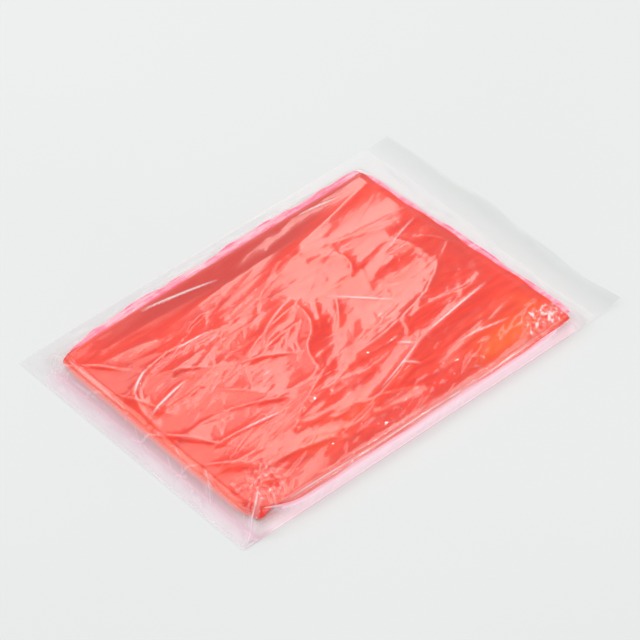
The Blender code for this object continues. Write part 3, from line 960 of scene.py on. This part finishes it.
def build_packet_front(material):
    """The front film, drawn over the pack and welded to the back film round three sides."""
    lines_x = spaced(
        (-PACKET_HALF, PACK_END - 5, 0.8),
        (PACK_END - 5, PACK_END + 3, 0.3),
        (PACK_END + 3, PACK_MOUTH - 6, 0.8),
        (PACK_MOUTH - 6, MOUTH_LINE, 0.5),
    )
    lines_y = spaced(
        (-PACKET_SIDE, PACK_NEAR + 2, 0.22),
        (PACK_NEAR + 2, PACK_FAR - 2, 0.66),
        (PACK_FAR - 2, PACKET_SIDE, 0.6),
    )
    y, x = np.meshgrid(lines_y, lines_x, indexing="ij")
    x = stretched(x, PACK_MOUTH, MOUTH_LINE, MOUTH_LINE + waves(y, MOUTH_WAVES))
    own = strewn_field(x, y, FILM_SMALL) + crumple(x, y, FILM_CRUMPLE)
    own = own * (0.3 + 0.7 * unrest(x, y)) + crease_field(x, y, FILM_LINES)
    over = shared_height(x, y) + own * inside_fade(x, y, 2.0)
    over = np.maximum(over, poncho_height(x, y)) + FILM_GAP
    past_edges = (PACK_END - x, x - pack_mouth(y), PACK_NEAR - y, y - PACK_FAR)
    drops = [(past - gap) / width for past, (gap, width) in zip(past_edges, FILM_DROPS)]
    outside = np.sqrt(sum(np.maximum(0.0, drop) ** 2 for drop in drops))
    climb = 1 - smooth(outside)
    margin = WELD_LEVEL + strewn_field(x, y, MARGIN_SMALL)
    weld = np.minimum(PACKET_HALF + x, np.minimum(PACKET_SIDE - y, PACKET_SIDE + y))
    margin = blend(WELD_LEVEL, margin, smooth(weld / 3.0))
    z = blend(margin, over, climb) + lip_height(x, y)
    rim = crease_field(x, y, RIM_CREASES) * smooth(weld / 2.0)
    z += rim * smooth((z + 1) / 4)
    # Sharp bends, the fine lines and the sparkles are painted as white glints in the haze.
    bent = own + rim + crease_field(x, y, MAIN_CREASES) + strewn_field(x, y, MARGIN_SMALL)
    bends = np.clip(np.abs(sharpness(bent, lines_x, lines_y)) - GLINT_FROM, 0, GLINT_MOST)
    lines = crease_field(x, y, FILM_LINES) + strewn_field(x, y, SPARKLES)
    lines = np.clip(lines / 0.3, 0, 1) ** 2
    piece = sheet_mesh("packet_front_film", np.stack((x, y, z), -1))
    outside = outside_distance(x, y)
    store(piece, "over_pack", np.maximum(climb, GLOSS_BESIDE * np.exp(-outside / GLOSS_REACH)))
    store(piece, "painted_glint", np.maximum(bends, lines))
    # Beside the pack the haze takes painted pink light from it; the near side gets a painted
    # shine.
    beside = np.maximum(1 - climb, GLOW_ON_SLOPE * smooth(outside / GLOW_SOFTNESS))
    store(piece, "glow", glow_share(x, y) * beside)
    store(piece, "shine", shine_share(x, y))
    piece.data.materials.append(material)
    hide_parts("packet_front")
    return piece


def build_packet_back(material):
    """The back film, flat on the surface, with its lip past the mouth."""
    lines_x = spaced((-PACKET_HALF, -114, 1.0), (-114, 90, 4.0), (90, PACKET_HALF, 0.8))
    lines_y = spaced((-PACKET_SIDE, PACKET_SIDE, 1.0))
    y, x = np.meshgrid(lines_y, lines_x, indexing="ij")
    x = stretched(x, 100, PACKET_HALF, PACKET_HALF - 1.2 + waves(y, LIP_WAVES))
    z = BACK_LEVEL + lip_height(x, y)
    z += strewn_field(x, y, LIP_SMALL) * smooth((x - 100) / 8)
    piece = sheet_mesh("packet_back_film", np.stack((x, y, z), -1))
    # The lip's tint is painted shade, most at its tip and near side; beside the pack the haze
    # takes painted pink light.
    past_mouth = np.clip((x - MOUTH_LINE + 3) / LIP_FADE, 0, 1)
    store(piece, "lip", past_mouth * blend(LIP_FAR_SHADE, 1.0, near_share(y)))
    store(piece, "glow", GLOW_BACK * glow_share(x, y) * (outside_distance(x, y) > 0))
    piece.data.materials.append(material)
    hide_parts("packet_back")
    return piece


# ---------------------------------------------------------------- stage


def build_floor():
    """The plain surface that the packet lies on."""
    bpy.ops.mesh.primitive_plane_add(size=2 * FLOOR_HALF)
    floor = bpy.context.object
    floor.name = "floor"
    floor.data.materials.append(floor_material())


def aim(obj, target):
    """Turn a lamp or camera to a point."""
    direction = Vector(target) - obj.location
    obj.rotation_euler = direction.to_track_quat("-Z", "Y").to_euler()


def add_area(name, azimuth, elevation, distance, size_x, size_y, radiance):
    """A softbox round the object. Radiance is what a mirror would show of it."""
    lamp = bpy.data.lights.new(name, "AREA")
    lamp.shape = "RECTANGLE"
    lamp.size, lamp.size_y = size_x, size_y
    lamp.energy = radiance * math.pi * size_x * size_y
    obj = bpy.data.objects.new(name, lamp)
    bpy.context.scene.collection.objects.link(obj)
    a, e = math.radians(azimuth), math.radians(elevation)
    obj.location = (
        distance * math.sin(a) * math.cos(e),
        -distance * math.cos(a) * math.cos(e),
        distance * math.sin(e),
    )
    aim(obj, (0, 0, 0))


def build_lights():
    """An even white world and the softboxes."""
    world = bpy.data.worlds.new("studio")
    world.use_nodes = True
    shade = world.node_tree.nodes["Background"]
    shade.inputs["Color"].default_value = (1.0, 1.0, 1.0, 1.0)
    shade.inputs["Strength"].default_value = WORLD_STRENGTH
    bpy.context.scene.world = world
    for softbox in SOFTBOXES:
        add_area(*softbox)


def build_camera():
    """The camera at the photograph's angle."""
    camera = bpy.data.cameras.new("camera")
    camera.lens = CAMERA_LENS
    camera.sensor_width = CAMERA_SENSOR
    camera.clip_start, camera.clip_end = 0.1, 20.0
    obj = bpy.data.objects.new("camera", camera)
    bpy.context.scene.collection.objects.link(obj)
    obj.location = CAMERA_PLACE
    aim(obj, CAMERA_TARGET)
    bpy.context.scene.camera = obj
    bpy.context.scene.view_settings.view_transform = "Standard"


red = red_film_material("red_film_look", RED_BASE, RED_DEEP, RED_LIGHT)
edges = edges_material("red_edges_look")
leaf = leaf_material("red_leaf_look", LEAF_COLOUR, LEAF_ALPHA)
clear = clear_film_material("clear_film_look", CLEAR_TINT)

build_packet_back(clear)
build_stack(edges)
build_second_leaf(leaf)
build_back_panel(red)
build_packet_front(clear)
build_floor()
build_lights()
build_camera()
